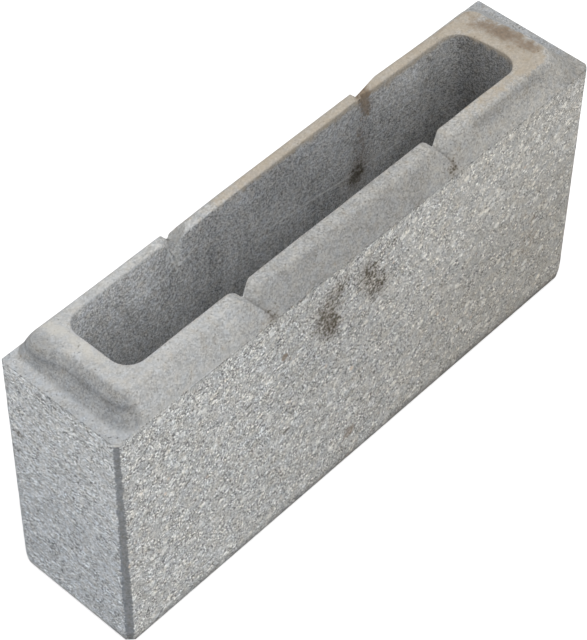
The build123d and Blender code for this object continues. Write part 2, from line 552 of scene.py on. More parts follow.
def profile_rows(sizes):
    """Rows of the profile, from the foot up the face, over the rim and down the cavity to the bed.

    Each row is a rounded rectangle of the plan, given by its near and far X, its half width and the legs
    of its front and back corners, at a height. The arris and edges are quarter ellipses, and the rim's
    slope is a smooth step.
    """
    crest = HIGH.z
    rise = crest - sizes.lip_height
    flats = {"leg": sizes.front_flat, "heel": sizes.back_flat, "land": 0, "lift": 0, "slope": 0}
    turn = np.linspace(0, math.pi / 2, ARRIS_ROWS, endpoint=False)
    inset = sizes.arris_inset * (1 - np.sin(turn))
    arris_z = sizes.arris_height * (1 - np.cos(turn))
    flush = {"inset_near": inset, "inset_far": inset, "inset_side": inset}
    arris = station(ARRIS_ROWS, ARRIS, z=arris_z, bow=0, **flush, **flats)
    face_z = np.linspace(sizes.arris_height, sizes.lip_height - sizes.lip_edge, FACE_ROWS, endpoint=False)
    flush = {"inset_near": 0, "inset_far": 0, "inset_side": 0}
    face = station(FACE_ROWS, FACE, z=face_z, bow=0, **flush, **flats)
    turn = np.linspace(0, math.pi / 2, LIP_EDGE_ROWS, endpoint=False)
    inset = sizes.lip_edge * (1 - np.cos(turn))
    edge_z = sizes.lip_height - sizes.lip_edge * (1 - np.sin(turn))
    flush = {"inset_near": inset, "inset_far": inset, "inset_side": inset}
    lip_edge = station(LIP_EDGE_ROWS, LIP_EDGE, z=edge_z, bow=LIP_BOW, **flush, **flats)
    share = np.linspace(0, 1, LIP_ROWS, endpoint=False)
    end_inset = sizes.lip_edge + (sizes.end_lip - sizes.lip_edge) * share
    lip = station(
        LIP_ROWS,
        LIP,
        inset_near=end_inset,
        inset_far=end_inset,
        inset_side=sizes.lip_edge + (sizes.side_lip - sizes.lip_edge) * share,
        z=sizes.lip_height,
        leg=sizes.front_flat + (sizes.foot_corner - sizes.front_flat) * share,
        heel=sizes.back_flat + (sizes.foot_corner - sizes.back_flat) * share,
        bow=LIP_BOW + (1 - LIP_BOW) * share,
        land=0,
        lift=0,
        slope=0,
    )
    share = np.linspace(0, 1, OGEE_ROWS, endpoint=False)
    climb = ease(share)
    corner = sizes.foot_corner + (sizes.crest_corner - sizes.foot_corner) * share
    ogee = station(
        OGEE_ROWS,
        OGEE,
        inset_near=sizes.end_lip + sizes.near_run * share,
        inset_far=sizes.end_lip + sizes.far_run * (1 - (1 - climb) ** FAR_POWER),
        inset_side=sizes.side_lip + sizes.side_run * (1 - (1 - climb) ** (1 / sizes.side_bow)),
        z=sizes.lip_height + rise * climb,
        leg=corner,
        heel=corner,
        bow=1,
        land=0,
        lift=climb,
        slope=share,
    )
    outer = [rows_to_plan(rows) for rows in (arris, face, lip_edge, lip, ogee)]
    share = np.linspace(0, 1, CREST_ROWS, endpoint=False)
    crest_near = LOW.x + sizes.end_lip + sizes.near_run
    crest_far = HIGH.x - sizes.end_lip - sizes.far_run
    crest_half = HIGH.y - sizes.side_lip - sizes.side_run
    edge = sizes.mouth_edge
    corner = sizes.crest_corner + (sizes.cavity_corner - sizes.crest_corner) * share
    land = station(
        CREST_ROWS,
        CREST,
        near=crest_near + (sizes.cavity_near - edge - crest_near) * share,
        far=crest_far + (sizes.cavity_far + edge - crest_far) * share,
        half=crest_half + (sizes.cavity_half + edge - crest_half) * share,
        z=crest,
        leg=corner,
        heel=corner,
        bow=1,
        land=share,
        lift=1 - share,
        slope=1 + share,
    )
    round_core = {"leg": sizes.cavity_corner, "heel": sizes.cavity_corner, "bow": 1}
    core = {**round_core, "land": 1, "lift": 0, "slope": 2}
    turn = np.linspace(0, math.pi / 2, MOUTH_ROWS, endpoint=False)
    out = edge * (1 - np.sin(turn))
    mouth = station(
        MOUTH_ROWS,
        MOUTH,
        near=sizes.cavity_near - out,
        far=sizes.cavity_far + out,
        half=sizes.cavity_half + out,
        z=crest - edge * (1 - np.cos(turn)),
        **core,
    )
    scar_foot = crest - SCAR_FOOT
    upper = np.linspace(crest - edge, scar_foot, SCAR_ROWS, endpoint=False)
    lower = np.linspace(scar_foot, 0, WALL_ROWS)
    wall_z = np.concatenate([upper, lower])
    close = (crest - wall_z) * math.tan(sizes.core_draft)
    wall = station(
        len(wall_z),
        WALL,
        near=sizes.cavity_near + close,
        far=sizes.cavity_far - close,
        half=sizes.cavity_half - close,
        z=wall_z,
        **core,
    )
    parts = outer + [land, mouth, wall]
    return {key: np.concatenate([rows[key] for rows in parts])[:, None] for key in parts[0]}


def rows_to_plan(rows):
    """Turns insets from the outer faces into the near and far X and the half width of each row."""
    plan = {key: rows[key] for key in ("z", "leg", "heel", "bow", "land", "lift", "slope", "zone")}
    plan["near"] = LOW.x + rows["inset_near"]
    plan["far"] = HIGH.x - rows["inset_far"]
    plan["half"] = HIGH.y - rows["inset_side"]
    return plan


def along_side(start, end):
    """X of the columns along a long side: crowded at the notches, and stretched only at the ends."""
    fine = np.linspace(LOW.x, HIGH.x, CROWD_STEPS)
    crowd = np.ones_like(fine)
    for notch in NOTCHES[:2]:
        crowd = crowd + NOTCH_CROWD * bell(fine, notch.along, NOTCH_REACH)
    count = np.concatenate([[0], np.cumsum(crowd[1:] + crowd[:-1])])
    x = np.interp(np.linspace(0, count[-1], SIDE_COLUMNS + 1), count, fine)[None, :]
    before = start + (-HELD_HALF - start) * (x - LOW.x) / (-HELD_HALF - LOW.x)
    after = HELD_HALF + (end - HELD_HALF) * (x - HELD_HALF) / (HIGH.x - HELD_HALF)
    return np.where(x < -HELD_HALF, before, np.where(x > HELD_HALF, after, x))


def plan_grid(rows):
    """X and Y of every row and column: four straight sides joined by corners, anticlockwise from above.

    A corner blends a straight flat with a quarter circle by the row's bow. The last array gives the side
    that a column lies on: -1 in front, 1 at the back and 0 elsewhere.
    """
    names = ("near", "far", "half", "leg", "heel", "bow")
    near, far, half, leg, heel, bow = (rows[name] for name in names)
    turn = np.linspace(0, 1, CORNER_COLUMNS, endpoint=False)[None, :]
    out = (1 - bow) * turn + bow * np.sin(turn * math.pi / 2)
    back = (1 - bow) * (1 - turn) + bow * np.cos(turn * math.pi / 2)
    step = np.linspace(0, 1, END_COLUMNS, endpoint=False)[None, :]
    front_x = along_side(near + leg, far - leg)[:, :-1]
    back_x = along_side(near + heel, far - heel)[:, :0:-1]
    up_y = -half + leg + (2 * half - leg - heel) * step
    down_y = half - heel - (2 * half - leg - heel) * step
    full = np.ones_like(near)
    xs = [
        front_x,
        far - leg + leg * out,
        far * np.ones_like(step),
        far - heel + heel * back,
        back_x,
        near + heel - heel * out,
        near * np.ones_like(step),
        near + leg - leg * back,
    ]
    ys = [
        -half * np.ones_like(front_x),
        -half + leg - leg * back,
        up_y,
        half - heel + heel * out,
        half * np.ones_like(back_x),
        half - heel + heel * back,
        down_y,
        -half + leg - leg * out,
    ]
    marks = (-1, 0, 0, 0, 1, 0, 0, 0)
    side = np.concatenate([np.full(x.shape[1], mark) for x, mark in zip(xs, marks)])
    x = np.concatenate([part * full for part in xs], axis=1)
    y = np.concatenate([part * full for part in ys], axis=1)
    return x, y, side[None, :]


def swell_corner(points, lift, sizes):
    """Draws the crest out over the near back corner, by smooth steps along and across the block."""
    x, y, z = points[..., 0], points[..., 1], points[..., 2]
    reach = ramp(y, *SWELL_ACROSS) * ramp(x, *SWELL_ALONG)
    return np.stack([x - sizes.corner_swell * lift * reach, y, z], axis=-1)


def wear_crest(points, sizes):
    """Presses the rim down, more the higher it stands.

    The back is lowest just beyond its first notch and recovers as an exponential, and a smooth step
    lowers the far back corner. Slow noise does the rest.
    """
    x, y, z = points[..., 0], points[..., 1], points[..., 2]
    past = np.maximum(x - NOTCHES[2].along, 0)
    begun = ramp(past, 0, BACK_WEAR_RUN) * ramp(y, *BACK_WEAR_ACROSS)
    left = BACK_WEAR_STAYS + (1 - BACK_WEAR_STAYS) * np.exp(-past / BACK_WEAR_FADE)
    drop = sizes.back_wear * begun * left
    drop = drop + sizes.far_wear * ramp(x, *FAR_WEAR_ALONG) * ramp(y, *FAR_WEAR_ACROSS)
    drop = drop + UNEVEN_DEPTH * lattice_noise(points * np.array([1, 1, 0]), UNEVEN_CELL, 11)
    height = np.clip((z - sizes.lip_height) / (HIGH.z - sizes.lip_height), 0, 1)
    return np.stack([x, y, z - height * drop], axis=-1)


def cut_notch(points, side, land, notch, sizes):
    """Lowers the rim to a notch, breaks the cavity wall away below it, and marks the broken facet.

    The floor of the notch falls outwards at a fixed slope, may spill more steeply past the crest, runs
    aslant by its skew and ends a little under the lip. One flank is a curve that rounds over to the crest,
    with a lobe that sinks towards the cavity, and the other is a plane. The facet is a triangle that opens
    upwards from its foot: it bites deepest along one edge and comes out flush with the wall at the other.
    """
    x, y, z = points[..., 0], points[..., 1], points[..., 2]
    crest = HIGH.z
    out = np.abs(y) - sizes.cavity_half
    away = x - notch.along - notch.skew * out
    floor = crest - notch.depth - notch.fall * out
    floor = floor - notch.spill * np.maximum(out - CREST_LAND, 0)
    rounded = crest - (crest - floor) * np.clip(1 + away / notch.shoulder, 0, 1) ** NOTCH_ROUNDING
    sunk = np.clip(1 + (x - notch.foot + SCAR_NEAR) / LOBE_REACH, 0, 1) ** 2
    rounded = rounded - notch.lobe * sunk * ramp(out, LOBE_WIDTH, 0)
    lowest = sizes.lip_height - NOTCH_END
    top = np.maximum(np.maximum(rounded, floor + away * notch.steepness), lowest)
    here = side == notch.side
    cut = np.where(here & (z > lowest), np.minimum(z, top), z)
    opening = np.clip((z - crest + notch.drop) / notch.drop, 0, 1)
    width = (SCAR_NEAR + SCAR_FAR) * np.maximum(opening, 0.01)
    across = (x - notch.foot + SCAR_NEAR * opening) / width
    bite = np.where(here & (across > 0), opening * np.clip(1 - across, 0, 1), 0) * land
    pushed = y + notch.bite * bite * notch.side
    return np.stack([x, pushed, cut], axis=-1), bite


def grid_normals(points):
    """Outward normals of a grid closed both ways: the cross product of its two central differences."""
    across = np.roll(points, -1, axis=1) - np.roll(points, 1, axis=1)
    up = np.roll(points, -1, axis=0) - np.roll(points, 1, axis=0)
    normals = np.cross(across, up)
    return normals / np.maximum(np.linalg.norm(normals, axis=-1, keepdims=True), 1e-12)


def blast_mask(points, zone, sizes):
    """Half where the blasted face ends, and one or nought half a ramp to either side of that line.

    The blasting bites over the edges of the corner flats, more so higher up.
    """
    x, y, z = np.abs(points[..., 0]), np.abs(points[..., 1]), points[..., 2]
    below_lip = sizes.lip_height - BLAST_BELOW_LIP - z
    flat = np.where(points[..., 1] < 0, sizes.front_flat, sizes.back_flat)
    over = BLAST_OVER_FLAT + BLAST_GAIN * ramp(z, 0, sizes.lip_height)
    from_corner = np.maximum(HIGH.x - flat - x, HIGH.y - flat - y) + over
    reach = np.minimum(below_lip, from_corner)
    return np.where(zone <= LIP, np.clip(0.5 + reach / BLAST_RAMP, 0, 1), 0)


def relief_depth(points, blast, sizes):
    """Depth eaten out of the plain form: noise with pits where it is blasted, and slow waves on the skin."""
    gritty = ramp(blast, 0.45, 0.65)
    eaten = layered_noise(points, EATEN_CELLS, 3)
    pits = ramp(lattice_noise(points, PIT_CELL, 5), 0.8, 0.95)
    wavy = layered_noise(points, WAVE_CELLS, 6)
    depth = gritty * sizes.blast_relief * (eaten + 0.9 * pits) + (1 - gritty) * sizes.skin_relief * wavy
    return depth * ramp(points[..., 2], 0, BED_RAMP)


def block_surface(sizes):
    """Points of the block's grid and the masks that its finish reads.

    The profile's rows are set round the plan, then swollen, worn and notched, and the relief is taken off
    along the normals.
    """
    rows = profile_rows(sizes)
    x, y, side = plan_grid(rows)
    points = np.stack([x, y, rows["z"] * np.ones_like(x)], axis=-1)
    points = swell_corner(points, rows["lift"], sizes)
    points = wear_crest(points, sizes)
    scar = np.zeros(x.shape)
    for notch in NOTCHES:
        points, bite = cut_notch(points, side, rows["land"], notch, sizes)
        scar = scar + bite
    points[..., 1] += sizes.cavity_shift * rows["land"]
    zone = rows["zone"] * np.ones(x.shape, int)
    blast = blast_mask(points, zone, sizes)
    hollow = np.where(zone == WALL, ramp(points[..., 2], HIGH.z, HIGH.z - HOLLOW_RAMP), 0.0)
    points = points - grid_normals(points) * relief_depth(points, blast, sizes)[..., None]
    masks = stain_masks(points)
    slope = rows["slope"] * np.ones(x.shape)
    far_rim = (points[..., 0] > FAR_CREST) & (zone >= LIP)
    for kind in ("tan", "clay"):
        masks[kind] = np.where(far_rim, masks[kind] * ramp(slope, *FAR_CREST_RAMP), masks[kind])
    masks["tone"] = tone_field(points, zone, slope)
    masks["warm"] = warm_field(points, zone)
    masks["blast"] = blast
    masks["hollow"] = hollow
    masks["scar"] = np.clip(SCAR_GAIN * scar, 0, 1)
    return points, masks


def face_tone(x, y, z):
    """Tone of the faces: a level and its washes, a dull patch in the middle and a dark foot in front."""
    tone = FACE_LEVEL + sum(
        wash.amount * ramp(x, *wash.along) * ramp(z, *wash.up) for wash in WASHES
    )
    tone = tone - 0.11 * window(x, -75, 20, 50) * ramp(z, 70, 130)
    return tone - 0.55 * ramp(z, 11, 0) * (0.12 + 0.88 * ramp(y, *FRONT_SIDE))


def rim_tone(points, x, y, slope):
    """Tone of the rim: the front's slope is darker than its crest, partly dirt and partly painted shade, and
    noise frays the line between them.

    The near end has painted shade in a crease half way up and over its slope, partly dirt there, and on
    top of the near back corner. The far front has a painted shade band on its steeper ridge, and the far
    end is duller. A painted light spot lifts the shade in the crease at the near back corner.
    """
    front = ramp(y, *FRONT_SIDE)
    crest = np.interp(x, CREST_PLACES, CREST_TONES)
    crest = crest + (0.98 - 0.05 * ramp(x, -90, -50) - crest) * ramp(y, -10, 10)
    low = np.interp(x, SLOPE_PLACES, SLOPE_TONES)
    broad, narrow = (lattice_noise(points, cell, 8 + layer) for layer, cell in enumerate(FRAY_CELLS))
    frayed = slope + 0.12 * broad + 0.08 * narrow
    # The front slope darker than its crest: partly dirt, partly painted shade on the steeper face
    tone = crest + (low - crest) * front * (1 - ramp(frayed, 0.80, 1.08))
    # Painted shade, partly dirt: a dark crease half way up the near end's slope, the slope itself, and the
    # top of the near back corner
    crease = 0.23 * bell(slope, 0.52, 0.065)
    near = (0.25 * window(frayed, 0.2, 0.98, 0.24) + crease) * ramp(x, -172, -178)
    near = near + 0.25 * ramp(x, -176, -180) * ramp(y, 10, 20) * ramp(slope, 0.8, 1.0)
    # Painted shade: a dark band on the steeper upper part of the far front slope
    ridge = 0.2 * window(x, 98, 158, 18) * bell(slope, 0.72, 0.16) * front
    far = 0.11 * ramp(x, 168, 174) * ramp(slope, 1.0, 0.9)
    # Painted light: a soft pale spot lifts the shade in the crease at the near back corner
    return tone - near - ridge - far + 0.22 * spot(points / MM, *PAINTED_LIGHT_CORNER)


def wall_tone(x, z):
    """Tone of the cavity wall: darker deep down and darkest in its far corner, both painted shade, with a
    dark and a pale streak by the far back notch.

    Both streaks are bell curves along the block.
    """
    high = np.interp(x, WALL_PLACES, WALL_HIGH_TONES)
    deep = np.interp(x, WALL_PLACES, WALL_DEEP_TONES)
    # Painted shade: the wall darkens deep down, and most in its far corner
    tone = high + (deep - high) * ramp(z, 185, 150)
    tone = tone - 0.12 * bell(x, 69, 8) * window(z, 140, 186, 30)
    return tone + 0.10 * bell(x, 113, 7) * ramp(z, 130, 160)


def tone_field(points, zone, slope):
    """How much lighter or darker the concrete is than its plain colour, from dust, damp and wear, and from
    painted shade and a painted light spot on the rim and painted shade in the cavity.

    The slope runs from nought at the lip to one at the edge of the crest and two at the cavity.
    """
    x, y, z = (points[..., axis] / MM for axis in range(3))
    rim = rim_tone(points, x, y, slope)
    return np.where(zone <= FACE, face_tone(x, y, z), np.where(zone == WALL, wall_tone(x, z), rim))


def warm_field(points, zone):
    """Hue of the concrete: nought is bluish, a half is plain grey and one is warm.

    It warms towards the far end and low down. The near end and the far lip's back are bluish.
    """
    x, y, z = (points[..., axis] / MM for axis in range(3))
    on_rim = zone >= LIP
    warm = 0.50 + 0.34 * ramp(x, -150, 180)
    warm = warm + 0.16 * ramp(z, 130, 40) * ramp(x, -40, 160)
    end = np.where(on_rim, ramp(x, -172, -186), ramp(x, *NEAR_END))
    near_end = 0.02 + 0.24 * ramp(z, 50, 180) + 0.2 * ramp(z, 192, 198)
    warm = warm + (near_end - warm) * end * ramp(z, 201.5, 199.5)
    warm = warm - 0.5 * ramp(x, 171, 174) * ramp(y, -34, -18) * on_rim
    wall = 0.38 + 0.14 * ramp(x, 40, 140)
    return np.clip(np.where(zone == WALL, wall, warm), 0, 1)


def stain_masks(points):
    """Where rust, clay, grime and lime lie, as sums of soft spots on the surface."""
    masks = {}
    for stain in STAINS:
        soft = stain.strength * spot(points / MM, stain.centre, stain.reach)
        masks[stain.kind] = masks.get(stain.kind, 0) + soft
    return {kind: np.clip(mask, 0, 1) for kind, mask in masks.items()}


def grid_mesh(name, points, masks):
    """Mesh of a grid closed both ways, smooth shaded, with one float attribute for each mask."""
    rows, columns = points.shape[:2]
    index = np.arange(rows * columns).reshape(rows, columns)
    right = np.roll(index, -1, axis=1)
    above = np.roll(index, -1, axis=0)
    corner = np.roll(right, -1, axis=0)
    quads = np.stack([index, right, corner, above], axis=-1).reshape(-1, 4)
    mesh = bpy.data.meshes.new(name)
    mesh.vertices.add(index.size)
    mesh.vertices.foreach_set("co", points.astype(np.float32).ravel())
    mesh.loops.add(quads.size)
    mesh.loops.foreach_set("vertex_index", quads.astype(np.int32).ravel())
    mesh.polygons.add(len(quads))
    mesh.polygons.foreach_set("loop_start", np.arange(0, quads.size, 4, dtype=np.int32))
    mesh.polygons.foreach_set("use_smooth", np.ones(len(quads), dtype=bool))
    for mask_name, mask in masks.items():
        attribute = mesh.attributes.new(mask_name, "FLOAT", "POINT")
        attribute.data.foreach_set("value", mask.astype(np.float32).ravel())
    mesh.update(calc_edges=True)
    mesh.validate()
    return mesh


class Value:
    """A number that varies over a surface: Python operators on it add Math nodes."""

    def __init__(self, nodes, socket):
        self.nodes = nodes
        self.socket = socket

    def __add__(self, other):
        return self.nodes.maths("ADD", self, other)

    def __radd__(self, other):
        return self.nodes.maths("ADD", other, self)

    def __sub__(self, other):
        return self.nodes.maths("SUBTRACT", self, other)

    def __rsub__(self, other):
        return self.nodes.maths("SUBTRACT", other, self)

    def __mul__(self, other):
        return self.nodes.maths("MULTIPLY", self, other)

    def __rmul__(self, other):
        return self.nodes.maths("MULTIPLY", other, self)

    def __truediv__(self, other):
        return self.nodes.maths("DIVIDE", self, other)

    def __rtruediv__(self, other):
        return self.nodes.maths("DIVIDE", other, self)


class Nodes:
    """A shader's node tree, with one way to add a node and the few patterns that concrete needs."""

    def __init__(self, tree):
        self.tree = tree
        tree.nodes.clear()

    def node(self, kind, settings=None, sockets=None):
        """Adds a node: its settings first, then the value or the link of each socket."""
        made = self.tree.nodes.new(kind)
        for key, setting in (settings or {}).items():
            setattr(made, key, setting)
        for key, given in (sockets or {}).items():
            source = given.socket if isinstance(given, Value) else given
            if isinstance(source, bpy.types.NodeSocket):
                self.tree.links.new(source, made.inputs[key])
            else:
                made.inputs[key].default_value = source
        return made

    def value(self, node, output=0):
        """One output of a node as a number."""
        return Value(self, node.outputs[output])

    def maths(self, operation, first, second):
        """A Math node on two numbers."""
        return self.value(self.node("ShaderNodeMath", {"operation": operation}, {0: first, 1: second}))

    def larger(self, first, second):
        """The larger of two numbers."""
        return self.maths("MAXIMUM", first, second)

    def rise(self, number, low, high):
        """Smooth step from nought at the low end to one at the high end, or the other way round."""
        sockets = {"Value": number, "From Min": low, "From Max": high}
        settings = {"interpolation_type": "SMOOTHSTEP"}
        return self.value(self.node("ShaderNodeMapRange", settings, sockets))

    def mask(self, name):
        """A mask that the mesh carries."""
        return self.value(self.node("ShaderNodeAttribute", {"attribute_name": name}), "Fac")

    def mix(self, share, first, second):
        """Two colours mixed by a share."""
        first, second = (tuple(c) + (1.0,) if len_of(c) == 3 else c for c in (first, second))
        sockets = {0: share, 6: first, 7: second}
        return self.node("ShaderNodeMix", {"data_type": "RGBA"}, sockets).outputs[2]

    def scaled(self, place, stretch):
        """A place stretched along each axis, or a colour tinted in each channel."""
        settings = {"operation": "MULTIPLY"}
        return self.node("ShaderNodeVectorMath", settings, {0: place, 1: stretch}).outputs[0]

    def cloud(self, place, size, detail=2.0, roughness=0.5):
        """Soft noise about a half, with features of about a size in millimetres."""
        sockets = {"Vector": place, "Scale": 1 / size, "Detail": detail, "Roughness": roughness}
        return self.value(self.node("ShaderNodeTexNoise", None, sockets), 0)

    def grains(self, place, size):
        """Packed grains: distance from the middle of each, in grains, and three numbers drawn for it.

        The draws follow the middle's place in its cell, and the one across the block comes last: on the
        long faces it hardly varies, so nothing is picked by it there.
        """
        cells = self.node("ShaderNodeTexVoronoi", None, {"Vector": place, "Scale": 1 / size})
        draws = self.node("ShaderNodeSeparateColor", None, {0: cells.outputs["Color"]})
        return [self.value(cells, "Distance")] + [self.value(draws, channel) for channel in (0, 2, 1)]

    def axis(self, place, index):
        """One axis of a place, as a number."""
        return self.value(self.node("ShaderNodeSeparateXYZ", None, {0: place}), index)

    def lit(self, shade, level):
        """A colour made lighter or darker by a level."""
        given = tuple(shade) if len_of(shade) == 3 else shade
        sockets = {0: given, "Scale": level}
        return self.node("ShaderNodeVectorMath", {"operation": "SCALE"}, sockets).outputs[0]

    def near(self, place, centre, radius):
        """One within a radius of a point, with a ragged edge, and nought beyond it."""
        gap = self.node("ShaderNodeVectorMath", {"operation": "DISTANCE"}, {0: place, 1: centre})
        ragged = self.cloud(place, radius)
        return self.rise(self.value(gap, "Value") + radius * (ragged - 0.5), radius, 0.6 * radius)

    def stroke(self, place, start, end, width):
        """One along a straight scratch of a width, and nought elsewhere."""
        kind = "ShaderNodeVectorMath"
        span = Vector(end) - Vector(start)
        offset = self.node(kind, {"operation": "SUBTRACT"}, {0: place, 1: start}).outputs[0]
        sockets = {0: offset, 1: span / span.length_squared}
        share = self.value(self.node(kind, {"operation": "DOT_PRODUCT"}, sockets), "Value")
        held = self.maths("MINIMUM", self.larger(share, 0.0), 1.0)
        foot = self.lit(tuple(span), held)
        gap = self.node(kind, {"operation": "DISTANCE"}, {0: offset, 1: foot})
        return self.rise(self.value(gap, "Value"), width, 0.4 * width)


def len_of(given):
    """Length of a plain tuple or colour, or nought for a socket."""
    return 0 if isinstance(given, (bpy.types.NodeSocket, Value)) else len(given)


def blasted_face(nodes, place, colours):
    """Colour, height and grain of the blasted face: sand, grit, crushed stone, flakes, pits darkened with
    painted shade, and marks.
    """
    along = nodes.axis(place, 0)
    on_end = nodes.rise(along, *END_GRAIN)
    crisp = 0.76 + 0.34 * nodes.rise(along, *CRISP_GRAIN)
    stretch = nodes.mix(on_end, FACE_STRETCH, END_STRETCH)
    drawn = nodes.scaled(place, stretch)
    dust = nodes.cloud(place, DUST_CLOUD)
    _, fine, _, _ = nodes.grains(drawn, SAND_GRAIN)
    patches = nodes.cloud(place, PATCH_CLOUD, 3.0, 0.6)
    sand = nodes.lit(colours.sand_mid, 1.0 + 0.8 * crisp * (fine - 0.5) + 0.6 * (patches - 0.5))
    middle, tone, _, _ = nodes.grains(drawn, GRIT_GRAIN)
    gritty = 0.25 + 0.95 * nodes.rise(nodes.cloud(place, GRIT_CLOUD, 3.0, 0.6), 0.34, 0.62)
    grit = nodes.rise(middle, 0.72, 0.42) * gritty * crisp
    face = nodes.mix(grit * nodes.rise(tone, 0.46, 0.20), sand, colours.sand_dark)
    face = nodes.mix(grit * nodes.rise(tone, 0.72, 0.94), face, colours.sand_pale)
    lumps = nodes.scaled(drawn, STONE_STRETCH)
    middle, stone_tone, pick, hue = nodes.grains(lumps, STONE_GRAIN)
    stone = nodes.rise(middle + 0.3 * (dust - 0.5), 0.46, 0.38) * nodes.rise(pick, 0.74, 0.76)
    body = nodes.mix(nodes.rise(hue, 0.66, 0.70), colours.chip_pale, colours.chip_warm)
    face = nodes.mix(stone * (0.10 + 0.4 * stone_tone) * (1.0 - on_end), face, body)
    flakes = nodes.scaled(drawn, FLAKE_STRETCH)
    middle, chip_tone, pick, _ = nodes.grains(flakes, CHIP_GRAIN)
    chip = nodes.rise(middle + 0.35 * (dust - 0.5), 0.46, 0.36) * nodes.rise(pick, 0.88, 0.90)
    face = nodes.mix(chip * (0.4 + 0.6 * chip_tone) * (1.0 - 0.4 * on_end), face, colours.chip_pale)
    middle, _, pick, _ = nodes.grains(drawn, PIT_GRAIN)
    pit = nodes.rise(middle + 0.3 * (dust - 0.5), 0.40, 0.30) * nodes.rise(pick, 0.975, 0.985)
    # Painted shade in the pits
    face = nodes.mix(pit * 0.8, face, colours.pit_shade)
    height = 0.06 * fine + 0.12 * tone + 0.16 * chip + 0.12 * stone - 0.25 * pit
    for mark in MARKS:
        spread = nodes.near(place, mark.centre, mark.radius)
        face = nodes.mix(spread * mark.strength, face, getattr(colours, mark.colour))
    for start, end in SCRATCHES:
        scratch = nodes.stroke(place, start, end, SCRATCH_WIDTH)
        face = nodes.mix(scratch * 0.8, face, colours.grime)
    brushed = nodes.cloud(nodes.scaled(place, BRUSH_STRETCH), BRUSH_CLOUD)
    face = nodes.lit(face, 1.0 + 0.9 * on_end * (brushed - 0.5))
    return face, height, tone


def pressed_skin(nodes, place, colours):
    """Colour and height of the smooth rim: fine cement with soft clouds, small pores darkened with painted
    shade, and dark notch floors.

    The grain is calmer where the near crest and lip are rubbed.
    """
    _, tone, pick, _ = nodes.grains(place, SKIN_GRAIN)
    fine = nodes.cloud(place, DUST_CLOUD, 2.0, 0.7)
    clouds = nodes.cloud(place, SKIN_CLOUD, 4.0, 0.62)
    up = nodes.axis(place, 2)
    flats = nodes.rise(up, *RUBBED_CREST) + nodes.rise(up, *RUBBED_LIP)
    rubbed = 1.0 - 0.4 * (nodes.rise(nodes.axis(place, 0), *RUBBED_END) * flats)
    level = 1.0 + rubbed * (0.48 * (tone - 0.5) + 0.40 * (fine - 0.5)) + 0.5 * (clouds - 0.5)
    shade = nodes.lit(colours.skin, level)
    pore = nodes.rise(pick, 0.990, 0.995)
    # Painted shade in the pores
    shade = nodes.mix(pore * 0.4, shade, colours.pit_shade)
    for start, end in GROOVES:
        groove = nodes.stroke(place, start, end, GROOVE_WIDTH)
        shade = nodes.mix(groove * (0.1 + 0.5 * fine), shade, colours.sand_dark)
    return shade, 0.08 * fine + 0.05 * tone


def corner_flat(nodes, place, colours):
    """Colour of the flats on the front corners: dark cement, grainy and a little cloudy."""
    _, tone, _, _ = nodes.grains(place, FLAT_GRAIN)
    return nodes.lit(colours.strip, 0.6 + 0.5 * tone + 0.3 * nodes.cloud(place, FLAT_CLOUD))


def cavity_wall(nodes, place, colours):
    """Colour and height of the cavity walls: rubbed cement with pale sand showing and a few scores."""
    _, tone, _, _ = nodes.grains(place, WALL_GRAIN)
    middle, _, pick, _ = nodes.grains(place, WALL_SPECK)
    fine = nodes.cloud(place, WALL_FINE_CLOUD, 3.0, 0.7)
    clouds = nodes.cloud(nodes.scaled(place, WALL_STRETCH), WALL_CLOUD, 3.0, 0.55)
    level = 1.0 + 1.1 * (tone - 0.5) + 0.5 * (fine - 0.5) + 0.8 * (clouds - 0.5)
    shade = nodes.lit(colours.hollow, level)
    speck = nodes.rise(middle, 0.6, 0.35)
    shade = nodes.mix(speck * nodes.rise(pick, 0.92, 0.93) * 0.75, shade, colours.sand_pale)
    shade = nodes.mix(speck * nodes.rise(pick, 0.05, 0.03) * 0.6, shade, colours.sand_dark)
    flat = nodes.scaled(place, (1.0, 0.0, 1.0))
    worn = 0.25 + 0.6 * nodes.cloud(place, SCORE_CLOUD)
    for start, end in WALL_SCORES:
        shade = nodes.mix(nodes.stroke(flat, start, end, SCRATCH_WIDTH) * worn, shade, colours.sand_pale)
    return shade, 0.15 * fine + 0.08 * tone


def stained(nodes, place, shade, hollow, colours):
    """The concrete's colour with its stains: lime, tan dust, clay and rust in patches, grime in grains."""
    patchy = nodes.cloud(place, STAIN_CLOUD, 4.0, 0.65)
    speckled = nodes.cloud(place, SPECKLE_CLOUD, 2.0, 0.6)
    chalk = nodes.rise(nodes.mask("chalk") + 0.8 * (patchy - 0.5), 0.3, 0.7)
    shade = nodes.mix(chalk * 0.5, shade, colours.chalk)
    tan = nodes.rise(nodes.mask("tan") + 0.8 * (patchy - 0.5), 0.15, 0.65)
    shade = nodes.mix(tan * (0.35 + 0.6 * patchy), shade, nodes.lit(colours.tan, 0.65 + 0.7 * speckled))
    clay = nodes.rise(nodes.mask("clay") + 1.3 * (patchy - 0.5) + 0.7 * (speckled - 0.5), 0.2, 1.0)
    shade = nodes.mix(clay * 0.85, shade, nodes.lit(colours.clay, 0.4 + 1.2 * speckled))
    rust = nodes.rise(nodes.mask("rust") + 1.4 * (patchy - 0.5) + 1.0 * (speckled - 0.5), 0.15, 0.9)
    shade = nodes.mix(rust * 0.7, shade, nodes.lit(colours.rust, 0.2 + 1.7 * speckled))
    _, dirt, _, _ = nodes.grains(place, DIRT_GRAIN)
    dirty = nodes.mask("grime")
    shade = nodes.mix(dirty * 0.4, shade, colours.rust)
    broken = (1.1 * (dirt - 0.5) + 0.9 * (speckled - 0.5)) * (1.0 - 0.75 * hollow)
    grime = nodes.rise(0.8 * dirty + broken, 0.48, 0.85)
    return nodes.mix(grime * 0.85, shade, nodes.lit(colours.grime, 0.5 + 1.0 * speckled))


